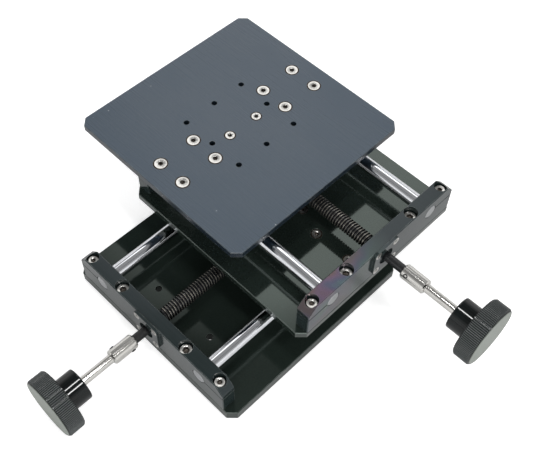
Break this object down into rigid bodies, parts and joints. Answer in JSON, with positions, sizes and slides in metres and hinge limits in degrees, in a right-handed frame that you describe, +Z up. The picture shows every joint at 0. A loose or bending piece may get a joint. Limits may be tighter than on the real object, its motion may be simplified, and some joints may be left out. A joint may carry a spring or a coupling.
{
  "type": "xy translation stage",
  "caption": "Manual two-axis translation stage: stacked plates slide on round shafts, each driven by a lead screw with a hand knob.",
  "frame": {"origin": "centre of the base plate's bottom face", "axes": "+Z up through the table; the lower level travels along Y, its knob at -Y; the upper level travels along X, its knob at +X"},
  "size_m": [0.2849, 0.2804, 0.0765],
  "materials": {
    "table_anodised": "dark grey anodised, brushed",
    "plate_anodised": "black anodised, satin",
    "block_anodised": "black anodised, satin",
    "shaft_steel": "hard chromed, polished",
    "black_steel": "blackened, oiled",
    "bright_steel": "turned stainless",
    "bearing_steel": "ground",
    "case_aluminium": "clear anodised, satin",
    "cage_polymer": "moulded",
    "nut_bronze": "turned",
    "knob_black": "black anodised, glossy",
    "cap_grey": "grey anodised, matt"
  },
  "bodies": {
    "base": {"base_plate": "plate_anodised", "lower_front_block": "block_anodised", "lower_rear_block": "block_anodised", "lower_left_shaft": "shaft_steel", "lower_right_shaft": "shaft_steel", "lower_block_screws": "bright_steel", "lower_clamp_screws": "bright_steel", "lower_front_bearing": "bearing_steel", "lower_rear_bearing": "bearing_steel", "lower_bearing_retainer": "block_anodised", "lower_retainer_screws": "bright_steel"},
    "lower_screw": {"lower_bearing_inner_rings": "bearing_steel", "lower_lead_screw": "black_steel", "lower_screw_clip": "black_steel", "lower_coupling": "bright_steel", "lower_rod": "bright_steel", "lower_set_screws": "black_steel", "lower_knob": "knob_black", "lower_knob_cap": "cap_grey"},
    "middle_carriage": {"middle_plate": "plate_anodised", "middle_plate_screws": "bright_steel", "middle_nut_screws": "bright_steel", "lower_left_case": "case_aluminium", "lower_right_case": "case_aluminium", "lower_bushing_sleeves": "bearing_steel", "lower_bushing_cages": "cage_polymer", "lower_bushing_rings": "black_steel", "lower_nut_housing": "case_aluminium", "lower_lead_nut": "nut_bronze", "upper_front_block": "block_anodised", "upper_rear_block": "block_anodised", "upper_left_shaft": "shaft_steel", "upper_right_shaft": "shaft_steel", "upper_block_screws": "bright_steel", "upper_clamp_screws": "bright_steel", "upper_front_bearing": "bearing_steel", "upper_rear_bearing": "bearing_steel", "upper_bearing_retainer": "block_anodised", "upper_retainer_screws": "bright_steel"},
    "upper_screw": {"upper_bearing_inner_rings": "bearing_steel", "upper_lead_screw": "black_steel", "upper_screw_clip": "black_steel", "upper_coupling": "bright_steel", "upper_rod": "bright_steel", "upper_set_screws": "black_steel", "upper_knob": "knob_black", "upper_knob_cap": "cap_grey"},
    "table": {"table_plate": "table_anodised", "table_screws": "bright_steel", "table_nut_screws": "bright_steel", "upper_left_case": "case_aluminium", "upper_right_case": "case_aluminium", "upper_bushing_sleeves": "bearing_steel", "upper_bushing_cages": "cage_polymer", "upper_bushing_rings": "black_steel", "upper_nut_housing": "case_aluminium", "upper_lead_nut": "nut_bronze"}
  },
  "joints": [
    {"name": "lower_knob_turn", "type": "hinge", "parent": "base", "child": "lower_screw", "pos_m": [0, 0, 0.023], "axis": [0, 1, 0], "range_deg": [0, 18000]},
    {"name": "lower_slide", "type": "slide", "parent": "base", "child": "middle_carriage", "axis": [0, -1, 0], "range_m": [0, 0.1]},
    {"name": "upper_knob_turn", "type": "hinge", "parent": "middle_carriage", "child": "upper_screw", "pos_m": [0, 0.05, 0.056], "axis": [-1, 0, 0], "range_deg": [0, 18000]},
    {"name": "upper_slide", "type": "slide", "parent": "middle_carriage", "child": "table", "axis": [1, 0, 0], "range_m": [0, 0.1]}
  ],
  "couplings": [
    {"joint": "lower_knob_turn", "follows": "lower_slide", "rad_per_m": 3141.6},
    {"joint": "upper_knob_turn", "follows": "upper_slide", "rad_per_m": 3141.6}
  ]
}
